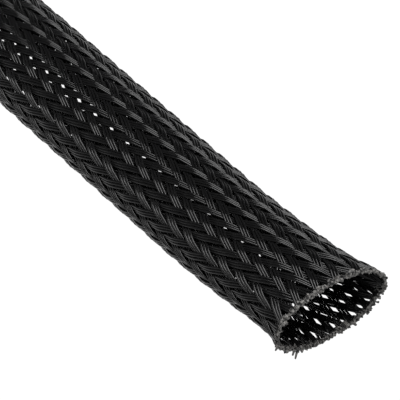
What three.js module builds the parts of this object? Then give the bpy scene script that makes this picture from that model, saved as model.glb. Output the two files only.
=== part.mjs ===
// Braided cable sleeve: a foot of expandable tubing, braided from black polyester monofilament
// and cut with a hot knife, so that the filaments are fused into a rim at each end.
// +X points along the sleeve to its open mouth, +Y is across it and +Z is up. The origin is on the
// underside, below the middle of the length. Every size is in millimetres.

import * as THREE from "three";

// The stock. It is sold by the foot, and lies a little pressed down under its own slackness.
const sleeveLength = 304.8;
const bodyWidth = 11.9;
const bodyHeight = 8.3;

// The wall is two layers of crossing filament with a little slack between them.
const filamentDiameter = 0.25;
const crossingSlack = 0.05;
const wallThickness = 2 * filamentDiameter + crossingSlack;

// The mouth, at +X, where the braid has opened out and bent a little to one side.
const mouthWidth = 14.0;
const mouthHeight = 7.8;
const mouthFlareLength = 5.3;
const mouthSideShift = 1.4;
const mouthBendLength = 19.2;

// The rear end, at -X, cut the same way but hardly opened.
const rearWidth = 12.6;
const rearHeight = 8.2;
const rearFlareLength = 4.5;

// The fused rim: the melted filament ends gather into a thicker bead inside the wall.
const rimThickness = 0.8;
const rimLength = 0.75;
const rimRounding = 0.2;

// The floor presses the round underside in by this much, which leaves a narrow flat to rest on.
const floorFlattening = 0.15;

// How finely the surface is divided.
const sidesAround = 60;
const stationsPerEnd = 12;

// The wall is turned at this radius first, and then pressed to the oval section of each place.
const turningRadius = bodyWidth / 2;

// 1 at a cut end, falling smoothly to 0 at the given distance from it.
function shareOfEnd(distanceFromEnd, reach) {
  const nearness = Math.max(0, 1 - distanceFromEnd / reach);
  return nearness * nearness;
}

function distanceToMouth(x) {
  return sleeveLength / 2 - x;
}

function distanceToRear(x) {
  return sleeveLength / 2 + x;
}

// The oval outside of the sleeve at x, and where its centre lies.
function sectionAt(x) {
  const mouthShare = shareOfEnd(distanceToMouth(x), mouthFlareLength);
  const rearShare = shareOfEnd(distanceToRear(x), rearFlareLength);
  const mouthGrowth = { width: mouthWidth - bodyWidth, height: mouthHeight - bodyHeight };
  const rearGrowth = { width: rearWidth - bodyWidth, height: rearHeight - bodyHeight };
  const width = bodyWidth + mouthGrowth.width * mouthShare + rearGrowth.width * rearShare;
  const height = bodyHeight + mouthGrowth.height * mouthShare + rearGrowth.height * rearShare;
  return {
    halfWidth: width / 2,
    halfHeight: height / 2,
    centreY: mouthSideShift * shareOfEnd(distanceToMouth(x), mouthBendLength),
    centreZ: height / 2 - floorFlattening,
  };
}

// How far the rounding of the nearer cut edge takes the surface back at x.
function edgeRounding(x) {
  const fromEdge = Math.min(distanceToMouth(x), distanceToRear(x));
  const intoRounding = Math.max(0, rimRounding - fromEdge);
  return rimRounding - Math.sqrt(rimRounding ** 2 - intoRounding ** 2);
}

// Depths are measured inwards from the outside of the oval.
function outerDepth(x) {
  return edgeRounding(x);
}

function innerDepth(x) {
  const fromEdge = Math.min(distanceToMouth(x), distanceToRear(x));
  const bead = (rimThickness - wallThickness) * shareOfEnd(fromEdge, rimLength);
  return wallThickness + bead - edgeRounding(x);
}

// Places along the sleeve, crowded towards the two ends where the shape changes.
function stationsAlong() {
  const mouthReach = Math.max(mouthFlareLength, mouthBendLength);
  const stations = [];
  for (let i = 0; i <= stationsPerEnd; i += 1) {
    const crowded = (i / stationsPerEnd) ** 2;
    stations.push(sleeveLength / 2 - mouthReach * crowded);
    stations.push(rearFlareLength * crowded - sleeveLength / 2);
  }
  return stations.sort((a, b) => a - b);
}

// The section of the wall, out along the inside and back along the outside, closed on itself.
function wallProfile() {
  const stations = stationsAlong();
  const inside = stations.map((x) => new THREE.Vector2(turningRadius - innerDepth(x), x));
  const outside = stations.map((x) => new THREE.Vector2(turningRadius - outerDepth(x), x));
  return [...inside, ...outside.reverse(), inside[0].clone()];
}

// Moves each point of the turned wall to its place on the oval, lying, bent and flared sleeve.
function pressToSection(geometry) {
  const places = geometry.getAttribute("position");
  for (let i = 0; i < places.count; i += 1) {
    const around = Math.atan2(places.getX(i), places.getZ(i));
    const depth = turningRadius - Math.hypot(places.getX(i), places.getZ(i));
    const x = places.getY(i);
    const section = sectionAt(x);
    const y = section.centreY + (section.halfWidth - depth) * Math.sin(around);
    const z = section.centreZ + (section.halfHeight - depth) * Math.cos(around);
    places.setXYZ(i, x, y, Math.max(z, depth));
  }
  geometry.computeVertexNormals();
}

function makeSleeve() {
  const halfSide = Math.PI / sidesAround;
  const geometry = new THREE.LatheGeometry(wallProfile(), sidesAround, halfSide);
  pressToSection(geometry);
  const blackPolyester = new THREE.MeshStandardMaterial({
    color: 0x1b1c1e,
    roughness: 0.42,
    metalness: 0,
  });
  const sleeve = new THREE.Mesh(geometry, blackPolyester);
  sleeve.name = "braided_sleeve";
  return sleeve;
}

const part = new THREE.Group();
part.add(makeSleeve());

export default part;
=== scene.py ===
import math
import bmesh
import bpy
import numpy as np
from mathutils import Matrix, Vector


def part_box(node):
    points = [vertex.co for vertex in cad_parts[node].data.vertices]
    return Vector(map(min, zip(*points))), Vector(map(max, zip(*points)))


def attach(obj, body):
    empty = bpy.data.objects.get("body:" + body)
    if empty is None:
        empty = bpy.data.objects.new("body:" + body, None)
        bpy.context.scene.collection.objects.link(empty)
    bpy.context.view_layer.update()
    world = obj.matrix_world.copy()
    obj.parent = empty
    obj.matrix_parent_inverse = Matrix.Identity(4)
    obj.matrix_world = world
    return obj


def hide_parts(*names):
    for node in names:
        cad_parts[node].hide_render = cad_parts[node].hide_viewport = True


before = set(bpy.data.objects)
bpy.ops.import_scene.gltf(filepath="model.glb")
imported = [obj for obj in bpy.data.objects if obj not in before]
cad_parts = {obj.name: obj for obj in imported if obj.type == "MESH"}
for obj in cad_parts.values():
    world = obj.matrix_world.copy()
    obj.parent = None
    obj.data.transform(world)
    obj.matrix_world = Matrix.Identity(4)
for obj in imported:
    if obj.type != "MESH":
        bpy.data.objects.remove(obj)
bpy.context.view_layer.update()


# The braid. A cable sleeve is a tube of extruded polyester filament, laid by 60 carriers that circle
# in two directions, three filaments to a strand. Each strand passes over two others and then under
# two, and nothing but that crossing holds the wall together, so it opens out wherever it is pushed.

# Lengths are in millimetres until MM turns them into metres.
MM = 0.001
CAD_NODE = "braided_sleeve"
sleeve_low, sleeve_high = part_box(CAD_NODE)
REAR_X = sleeve_low[0] / MM
MOUTH_X = sleeve_high[0] / MM

BODY_WIDTH, BODY_HEIGHT = 11.9, 8.3
MOUTH_WIDTH, MOUTH_HEIGHT = 14.0, 7.8
REAR_WIDTH, REAR_HEIGHT = 12.6, 8.2
MOUTH_FLARE, REAR_FLARE = 5.3, 4.5
SIDE_SHIFT, BEND = 1.4, 19.2
FLOOR_FLATTENING = 0.15

# A column is a sixtieth of the girth, and a row is how far two crossings lie apart along the sleeve.
CARRIERS = 60
FILAMENT_RADIUS = 0.125
FILAMENT_PITCH = 0.228
LAYER_RISE = 0.22
ARCH_PEAK = 0.11
BODY_ROW, MOUTH_ROW, ROW_CHANGE = 1.456, 1.22, 81.4
COLUMN_TURN = 1.228
ROW_START = 1.692
BUNCHING = ((1, 0.974, 0.834), (2, 0.489, 0.181), (3, 0.376, -1.658))
ROW_LEAN = -1.449
TWIST = 0.012
STRAND_DRIFT, LOOSENESS = 0.035, 0.03
DRIFT_ROWS = (9, 23)
END_INSET, LEAN_FADE = 0.3, 3.0
BRAID_ANGLE_COSINE = 0.93
FINE_ROWS, FINE_STEP = 40, 0.5
FILAMENT_SIDES_EXTRA = 2
PIECES_PER_HAND = 3
BESIDE = (-1, 0, 1)
BATCH_GRAIN, SCUFF_GRAIN, DIE_MARK_GRAIN = 2.5, 0.7, 0.12


def end_share(distance, reach):
    """1 at a cut end, falling smoothly to 0 at the given distance from it."""
    return np.clip(1 - distance / reach, 0, 1) ** 2


def section(x):
    """Half the oval's width and height, and its centre, at places x along the sleeve."""
    mouth = end_share(MOUTH_X - x, MOUTH_FLARE)
    rear = end_share(x - REAR_X, REAR_FLARE)
    width = BODY_WIDTH + (MOUTH_WIDTH - BODY_WIDTH) * mouth + (REAR_WIDTH - BODY_WIDTH) * rear
    height = BODY_HEIGHT + (MOUTH_HEIGHT - BODY_HEIGHT) * mouth + (REAR_HEIGHT - BODY_HEIGHT) * rear
    centre_y = SIDE_SHIFT * end_share(MOUTH_X - x, BEND)
    return width / 2, height / 2, centre_y, height / 2 - FLOOR_FLATTENING


def on_wall(x, turn, depth):
    """Points, in metres, at x along the sleeve, a share turn of the way round and a depth into the wall."""
    half_width, half_height, centre_y, centre_z = section(x)
    across, up = half_width**2, half_height**2
    ovalness = (across - up) / (across + up)
    asked = 2 * math.pi * turn
    angle = asked
    for _ in range(4):
        angle = asked - ovalness / 4 * np.sin(2 * angle)
    y = centre_y + (half_width - depth) * np.sin(angle)
    z = np.maximum(centre_z + (half_height - depth) * np.cos(angle), depth)
    return np.stack([x + 0 * z, y, z], axis=-1) * MM


def girth(x, depth):
    """How far it is round the wall at x, at the given depth."""
    half_width, half_height, _, _ = section(x)
    a, b = half_width - depth, half_height - depth
    spread = ((a - b) / (a + b)) ** 2
    return math.pi * (a + b) * (1 + spread / 4)


def how_low(turn):
    """0 at the top of the wall and 1 at its underside, for a share turn of the way round."""
    return (1 - np.cos(2 * math.pi * turn)) / 2


def row_places():
    """Where each row of crossings lies, from the mouth back to the rear end."""
    places = [MOUTH_X + ROW_START]
    while places[-1] > REAR_X:
        nearness = end_share(MOUTH_X - places[-1], ROW_CHANGE)
        places.append(places[-1] - (BODY_ROW + (MOUTH_ROW - BODY_ROW) * nearness))
    return np.array(places)


ROWS = row_places()
MIDDLE_DEPTH = LAYER_RISE * (1 + ARCH_PEAK) + FILAMENT_RADIUS
draws = np.random.default_rng(60)


def filament_path(strand, offset, hand):
    """The centre line of one filament. The weave repeats every four columns round the wall."""
    last_row = len(ROWS) - 1
    beside = offset * FILAMENT_PITCH * CARRIERS / (girth(0.0, MIDDLE_DEPTH) * BRAID_ANGLE_COSINE)
    fine = np.arange(0, FINE_ROWS, FINE_STEP)
    coarse = np.arange(FINE_ROWS, last_row + 1, 1.0)
    rows = np.concatenate([fine, coarse])
    rows = np.clip(rows - (hand * beside) % FINE_STEP, 0, last_row)
    x = np.interp(rows, np.arange(last_row + 1), ROWS)
    low_x, high_x = REAR_X + END_INSET, MOUTH_X - END_INSET
    x = np.clip(x, low_x, high_x)
    rows = np.interp(-x, -ROWS, np.arange(last_row + 1))
    narrowing = girth(0.0, MIDDLE_DEPTH) / girth(x, MIDDLE_DEPTH)
    column = 2 * strand + hand * rows + beside * narrowing
    crossing = column - beside * narrowing / 2
    swing = math.pi * (crossing + 0.5) / 2
    rise = (np.sin(swing) - ARCH_PEAK * np.sin(3 * swing)) * hand
    depth = MIDDLE_DEPTH - LAYER_RISE * rise + draws.uniform(0, LOOSENESS)
    round_wall = 2 * math.pi * column / CARRIERS
    bunched = sum(size * np.sin(lobes * round_wall + start) for lobes, size, start in BUNCHING)
    wave = 2 * math.pi * rows / draws.uniform(*DRIFT_ROWS)
    drift = STRAND_DRIFT * np.sin(wave + draws.uniform(0, 2 * math.pi))
    turn = (column + COLUMN_TURN + bunched + drift + TWIST * (MOUTH_X - x)) / CARRIERS
    from_ends = np.clip(np.minimum(high_x - x, x - low_x) / LEAN_FADE, 0, 1)
    lean = ROW_LEAN * from_ends * how_low(turn)
    return on_wall(x + lean, turn, depth)


def braid_piece(name, strands, hand):
    """One share of the strands of one hand, as a mesh of round filaments."""
    curve = bpy.data.curves.new(name, "CURVE")
    curve.dimensions = "3D"
    curve.bevel_depth = FILAMENT_RADIUS * MM
    curve.bevel_resolution = FILAMENT_SIDES_EXTRA
    curve.use_fill_caps = True
    curve.twist_mode = "MINIMUM"
    for strand in strands:
        for offset in BESIDE:
            points = filament_path(strand, offset, hand)
            spline = curve.splines.new("POLY")
            spline.points.add(len(points) - 1)
            flat = np.concatenate([points, np.ones((len(points), 1))], axis=1)
            spline.points.foreach_set("co", flat.ravel())
            spline.use_smooth = True
    rope = bpy.data.objects.new(name + "_curve", curve)
    bpy.context.scene.collection.objects.link(rope)
    shape = rope.evaluated_get(bpy.context.evaluated_depsgraph_get())
    mesh = bpy.data.meshes.new_from_object(shape)
    mesh.name = name
    bpy.data.objects.remove(rope)
    piece = bpy.data.objects.new(name, mesh)
    bpy.context.scene.collection.objects.link(piece)
    return piece


def linear(hex_code):
    """An sRGB hex colour as the linear values that a shader socket takes."""
    channels = [int(hex_code[i:i + 2], 16) / 255 for i in (1, 3, 5)]
    return [c / 12.92 if c <= 0.04045 else ((c + 0.055) / 1.055) ** 2.4 for c in channels] + [1.0]


def add_node(tree, kind, settings=None, links=None, **values):
    """A node with its settings, socket values and links; links maps an input to another's output."""
    node = tree.nodes.new(kind)
    for key, value in (settings or {}).items():
        setattr(node, key, value)
    for key, value in values.items():
        node.inputs[key.replace("_", " ")].default_value = value
    for key, source in (links or {}).items():
        tree.links.new(source, node.inputs[key])
    return node


def polyester_filament():
    """Extruded polyester monofilament: dyed black through, smooth from the die and lightly scuffed."""
    material = bpy.data.materials.new("extruded_polyester_monofilament")
    material.use_nodes = True
    tree = material.node_tree
    tree.nodes.clear()
    place = add_node(tree, "ShaderNodeTexCoord")
    batch = add_node(
        tree,
        "ShaderNodeTexNoise",
        links={"Vector": place.outputs["Object"]},
        Scale=1 / (BATCH_GRAIN * MM),
        Detail=3.0,
    )
    # Inputs 6 and 7 of a colour mix are its two colours.
    tone = add_node(tree, "ShaderNodeMix", {"data_type": "RGBA"}, {"Factor": batch.outputs[0]})
    tone.inputs[6].default_value = linear("#101011")
    tone.inputs[7].default_value = linear("#1a1a1a")
    scuffs = add_node(
        tree,
        "ShaderNodeTexNoise",
        links={"Vector": place.outputs["Object"]},
        Scale=1 / (SCUFF_GRAIN * MM),
        Detail=4.0,
    )
    satin = add_node(
        tree, "ShaderNodeMapRange", links={"Value": scuffs.outputs[0]}, To_Min=0.1, To_Max=0.16
    )
    # Real die marks are finer than a pixel of a close view, so they are drawn at half a filament's width.
    die_marks = add_node(
        tree,
        "ShaderNodeTexNoise",
        links={"Vector": place.outputs["Object"]},
        Scale=1 / (DIE_MARK_GRAIN * MM),
        Detail=2.0,
    )
    relief = add_node(
        tree, "ShaderNodeBump", links={"Height": die_marks.outputs[0]}, Strength=0.15, Distance=0.01 * MM
    )
    shader = add_node(
        tree,
        "ShaderNodeBsdfPrincipled",
        links={
            "Base Color": tone.outputs[2],
            "Roughness": satin.outputs[0],
            "Normal": relief.outputs[0],
        },
        Specular_IOR_Level=0.24,
        IOR=1.57,
    )
    add_node(tree, "ShaderNodeOutputMaterial", links={"Surface": shader.outputs[0]})
    return material


FILAMENT_MATERIAL = polyester_filament()
for hand, hand_name in ((1, "right_hand"), (-1, "left_hand")):
    for share in range(PIECES_PER_HAND):
        strands = range(share, CARRIERS // 2, PIECES_PER_HAND)
        piece = braid_piece(f"{hand_name}_strands_{share + 1}", strands, hand)
        piece.data.materials.append(FILAMENT_MATERIAL)
        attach(piece, "root")
        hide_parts(CAD_NODE)


# The two cut ends. A hot knife parts the sleeve, and the ends of its 180 filaments melt and draw back
# into small beads, which fuse to each other in a rough rim and keep the braid from fraying. The rim's
# grey patches are partly its own colour and partly painted glints.

RIM_BEADS = 190
RIM_GRAINS = 800
RIM_DEPTH = 0.36
RIM_BEAD_RADIUS = 0.15
RIM_GRAIN_RADIUS = 0.105
RIM_VOXEL = 0.06
# The first grain sets the rim's grey patches, which are partly the crust's own grey and partly painted
# glints.
CRUST_AND_GLINT_GRAIN, PIT_GRAIN = 0.26, 0.16
RIM_SETBACK, RIM_SWAY, RIM_SCATTER = 0.33, 0.06, 0.08
GRAIN_OUTSIDE, GRAIN_REACH, GRAIN_REACH_UNDER = 0.04, 0.45, 0.4
GRAIN_SPREAD, GRAIN_SPREAD_UNDER = 0.1, 0.06
LUMP_SETBACK, LUMP_DEPTH = 0.4, 0.16
DEPTH_SWAY, DEPTH_SCATTER = 0.04, 0.06
UNDER_SWELL = 0.5
BEAD_SIZES, BEAD_STRETCH = (0.85, 1.2), (1.3, 1, 1)
GRAIN_SIZES, GRAIN_STRETCH, GRAIN_LIMIT = (0.6, 1.5), (0.8, 1.5), 1.4
LUMP_STRETCH = (1.1, 1.5, 0.8)
FLOOR_GAP = 0.02
STRAY_STEPS, STRAY_RADIUS, STRAY_TAPER = 9, 0.18, 0.06
STRAY_SETBACK, STRAY_OUT, STRAY_FORWARD, STRAY_TURN = 0.3, 0.7, 0.4, 0.004
# Each lump is a share of the way round and a radius, and each stray end is a share of the way and a reach.
RIM_LUMPS = (
    (0.077, 0.3), (0.02, 0.17), (0.995, 0.2), (0.96, 0.18),
    (0.92, 0.17), (0.885, 0.2), (0.855, 0.17), (0.83, 0.2),
)
STRAY_ENDS = (
    (0.60, 0.55), (0.622, 1.15), (0.634, 0.7), (0.668, 0.5),
    (0.713, 0.75), (0.722, 0.5), (0.345, 0.4),
)


def add_bead(beads, place, radius, stretch=(1, 1, 1)):
    """A melted bead at a place in millimetres, stretched along the three axes and kept above the table."""
    x, y, z = place
    z = max(z, radius * stretch[2] + FLOOR_GAP)
    shape = Matrix.LocRotScale(Vector((x, y, z)), None, Vector(stretch))
    bmesh.ops.create_icosphere(beads, subdivisions=1, radius=radius, matrix=shape)


def drop_crumbs(mesh):
    """Keeps the biggest body of the mesh, so that no grain hangs loose beside the rim."""
    melted = bmesh.new()
    melted.from_mesh(mesh)
    unseen = set(melted.verts)
    bodies = []
    while unseen:
        body = []
        waiting = [unseen.pop()]
        while waiting:
            vert = waiting.pop()
            body.append(vert)
            beside = [link.other_vert(vert) for link in vert.link_edges]
            found = [other for other in beside if other in unseen]
            unseen.difference_update(found)
            waiting.extend(found)
        bodies.append(body)
    bodies.sort(key=len)
    crumbs = [vert for body in bodies[:-1] for vert in body]
    bmesh.ops.delete(melted, geom=crumbs, context="VERTS")
    melted.to_mesh(mesh)
    melted.free()


def fused_rim(name, edge_x, outward, seed):
    """The fused rim at one end: outward is 1 towards +X and -1 towards -X."""
    beads = bmesh.new()
    melt = np.random.default_rng(seed)
    for turn in np.arange(RIM_BEADS) / RIM_BEADS:
        under = how_low(turn)
        sway = math.sin(2 * math.pi * 3 * turn + seed) + math.sin(2 * math.pi * 7 * turn)
        x = edge_x - outward * (RIM_SETBACK + RIM_SWAY * sway + melt.uniform(-RIM_SCATTER, RIM_SCATTER))
        depth = RIM_DEPTH + DEPTH_SWAY * sway + melt.uniform(-DEPTH_SCATTER, DEPTH_SCATTER)
        place = on_wall(np.array(x), turn, depth) / MM
        radius = RIM_BEAD_RADIUS * melt.uniform(*BEAD_SIZES) * (1 + UNDER_SWELL * under)
        add_bead(beads, place, radius, BEAD_STRETCH)
    for turn in melt.uniform(0, 1, RIM_GRAINS):
        under = how_low(turn)
        x = edge_x - outward * melt.uniform(-GRAIN_OUTSIDE, GRAIN_REACH + GRAIN_REACH_UNDER * under)
        spread = GRAIN_SPREAD + GRAIN_SPREAD_UNDER * under
        depth = RIM_DEPTH + np.clip(melt.normal(0, 1), -GRAIN_LIMIT, GRAIN_LIMIT) * spread
        place = on_wall(np.array(x), turn, depth) / MM
        radius = RIM_GRAIN_RADIUS * melt.uniform(*GRAIN_SIZES)
        add_bead(beads, place, radius, melt.uniform(*GRAIN_STRETCH, 3))
    for turn, radius in RIM_LUMPS if outward > 0 else ():
        place = on_wall(np.array(edge_x - LUMP_SETBACK), turn, LUMP_DEPTH) / MM
        add_bead(beads, place, radius, LUMP_STRETCH)
    for turn, reach in STRAY_ENDS if outward > 0 else ():
        for step in np.linspace(0, 1, STRAY_STEPS):
            depth = RIM_DEPTH - reach * STRAY_OUT * step
            x = edge_x - outward * (STRAY_SETBACK - reach * STRAY_FORWARD * step)
            place = on_wall(np.array(x), turn + STRAY_TURN * step, depth) / MM
            add_bead(beads, place, STRAY_RADIUS - STRAY_TAPER * step)
    mesh = bpy.data.meshes.new(name)
    beads.to_mesh(mesh)
    beads.free()
    rough = bpy.data.objects.new(name, mesh)
    bpy.context.scene.collection.objects.link(rough)
    fuse = rough.modifiers.new("fuse", "REMESH")
    fuse.mode = "VOXEL"
    fuse.voxel_size = RIM_VOXEL
    fuse.use_smooth_shade = True
    flow = rough.modifiers.new("flow", "SMOOTH")
    flow.iterations = 2
    flow.factor = 0.5
    fused = bpy.data.meshes.new_from_object(rough.evaluated_get(bpy.context.evaluated_depsgraph_get()))
    bpy.data.objects.remove(rough)
    drop_crumbs(fused)
    fused.transform(Matrix.Scale(MM, 4))
    fused.name = name
    rim = bpy.data.objects.new(name, fused)
    bpy.context.scene.collection.objects.link(rim)
    return rim


def fused_polyester():
    """Polyester that has melted and set in open air: a pitted crust, patchy from black to grey, the grey
    partly its own colour and partly painted glints.
    """
    material = bpy.data.materials.new("hot_cut_polyester")
    material.use_nodes = True
    tree = material.node_tree
    tree.nodes.clear()
    place = add_node(tree, "ShaderNodeTexCoord")
    # Noise that lays the rim's light grey patches: partly the melted crust's own grey, partly painted
    # glints.
    crust_and_glint = add_node(
        tree,
        "ShaderNodeTexNoise",
        links={"Vector": place.outputs["Object"]},
        Scale=1 / (CRUST_AND_GLINT_GRAIN * MM),
        Detail=4.0,
    )
    patchy = add_node(
        tree, "ShaderNodeMapRange", links={"Value": crust_and_glint.outputs[0]}, From_Min=0.42, From_Max=0.66
    )
    tone = add_node(tree, "ShaderNodeMix", {"data_type": "RGBA"}, {"Factor": patchy.outputs[0]})
    tone.inputs[6].default_value = linear("#0b0b0b")
    tone.inputs[7].default_value = linear("#84827f")
    pits = add_node(
        tree,
        "ShaderNodeTexNoise",
        links={"Vector": place.outputs["Object"]},
        Scale=1 / (PIT_GRAIN * MM),
        Detail=2.0,
    )
    relief = add_node(
        tree, "ShaderNodeBump", links={"Height": pits.outputs[0]}, Strength=0.9, Distance=0.08 * MM
    )
    shader = add_node(
        tree,
        "ShaderNodeBsdfPrincipled",
        links={"Base Color": tone.outputs[2], "Normal": relief.outputs[0]},
        Roughness=0.4,
        Specular_IOR_Level=0.3,
        IOR=1.57,
    )
    add_node(tree, "ShaderNodeOutputMaterial", links={"Surface": shader.outputs[0]})
    return material


RIM_MATERIAL = fused_polyester()
RIMS = (("mouth_fused_rim", MOUTH_X, 1, 7), ("rear_fused_rim", REAR_X, -1, 11))
for rim_name, edge_x, outward, seed in RIMS:
    rim = fused_rim(rim_name, edge_x, outward, seed)
    rim.data.materials.append(RIM_MATERIAL)
    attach(rim, "root")
    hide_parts(CAD_NODE)


# The room. The table is a backlit sheet of white acrylic, so it shows evenly pale and holds no shadow.
# A soft box hangs over the mouth and a dim one stands at the side. A low pale band rings the table, and
# the room above it is dark.

CAMERA_AZIMUTH = math.radians(52.81)
FLOOR_GLOW = 1.03
TABLE_HALF_SIZE = 4.0
SWEEP_TOP = (0.02, 0.12)
SWEEP_GLOW = 0.7
DARK_ROOM = 0.03
KEY_GLOW = 9.0
FILL_GLOW = 0.25

floor_shape = bmesh.new()
bmesh.ops.create_grid(floor_shape, x_segments=1, y_segments=1, size=TABLE_HALF_SIZE)
floor_mesh = bpy.data.meshes.new("table_top")
floor_shape.to_mesh(floor_mesh)
floor_shape.free()
table_top = bpy.data.objects.new("table_top", floor_mesh)
bpy.context.scene.collection.objects.link(table_top)
acrylic = bpy.data.materials.new("lit_white_acrylic")
acrylic.use_nodes = True
sheet = acrylic.node_tree
sheet.nodes.clear()
matt = add_node(
    sheet,
    "ShaderNodeBsdfPrincipled",
    Base_Color=linear("#1c1c1c"),
    Roughness=0.9,
    Specular_IOR_Level=0.1,
    Emission_Color=linear("#ffffff"),
    Emission_Strength=FLOOR_GLOW,
)
add_node(sheet, "ShaderNodeOutputMaterial", links={"Surface": matt.outputs[0]})
floor_mesh.materials.append(acrylic)

world = bpy.data.worlds.new("studio")
bpy.context.scene.world = world
world.use_nodes = True
walls = world.node_tree
background = walls.nodes["Background"]
looked = add_node(walls, "ShaderNodeTexCoord")
apart = add_node(walls, "ShaderNodeSeparateXYZ", links={"Vector": looked.outputs["Generated"]})
sweep = add_node(
    walls,
    "ShaderNodeMapRange",
    links={"Value": apart.outputs["Z"]},
    From_Min=SWEEP_TOP[0],
    From_Max=SWEEP_TOP[1],
    To_Min=SWEEP_GLOW,
    To_Max=DARK_ROOM,
)
walls.links.new(sweep.outputs[0], background.inputs["Strength"])
background.inputs["Color"].default_value = linear("#ffffff")

mouth_centre = Vector((MOUTH_X, SIDE_SHIFT, MOUTH_HEIGHT / 2 - FLOOR_FLATTENING)) * MM
camera_right = Vector((math.cos(CAMERA_AZIMUTH), math.sin(CAMERA_AZIMUTH), 0))


def soft_box(name, x, y, height, width, depth, radiance):
    """A soft box placed from the mouth, x along the sleeve and y across it, leant towards the sleeve."""
    lamp = bpy.data.lights.new(name, "AREA")
    lamp.shape = "RECTANGLE"
    lamp.size = width
    lamp.size_y = depth
    lamp.energy = math.pi * width * depth * radiance
    light = bpy.data.objects.new(name, lamp)
    light.location = mouth_centre + Vector((x, y, height))
    light.rotation_euler = (-math.atan2(y, height), 0, 0)
    bpy.context.scene.collection.objects.link(light)


soft_box("top_soft_box", x=0.0, y=0.12, height=1.0, width=0.7, depth=0.7, radiance=KEY_GLOW)
soft_box("side_soft_box", x=-0.1, y=-0.95, height=0.6, width=1.0, depth=0.5, radiance=FILL_GLOW)


# The camera looks down on the open mouth from its own side, through a long lens.

CAMERA_ELEVATION = math.radians(41.83)
CAMERA_DISTANCE = 0.3772
LENS_MM, SENSOR_MM = 355.9, 36.0
AIM_RIGHT, AIM_UP = -12.66, 10.63

level = math.cos(CAMERA_ELEVATION)
back = Vector((
    math.sin(CAMERA_AZIMUTH) * level,
    -math.cos(CAMERA_AZIMUTH) * level,
    math.sin(CAMERA_ELEVATION),
))
up = back.cross(camera_right)
lens = bpy.data.cameras.new("camera")
lens.lens = LENS_MM
lens.sensor_width = SENSOR_MM
camera = bpy.data.objects.new("camera", lens)
bpy.context.scene.collection.objects.link(camera)
aim = mouth_centre + (camera_right * AIM_RIGHT + up * AIM_UP) * MM
camera.location = aim + back * CAMERA_DISTANCE
camera.rotation_mode = "QUATERNION"
camera.rotation_quaternion = (-back).to_track_quat("-Z", "Y")
lens.clip_start, lens.clip_end = 0.01, 20
bpy.context.scene.camera = camera
bpy.context.scene.view_settings.view_transform = "Standard"
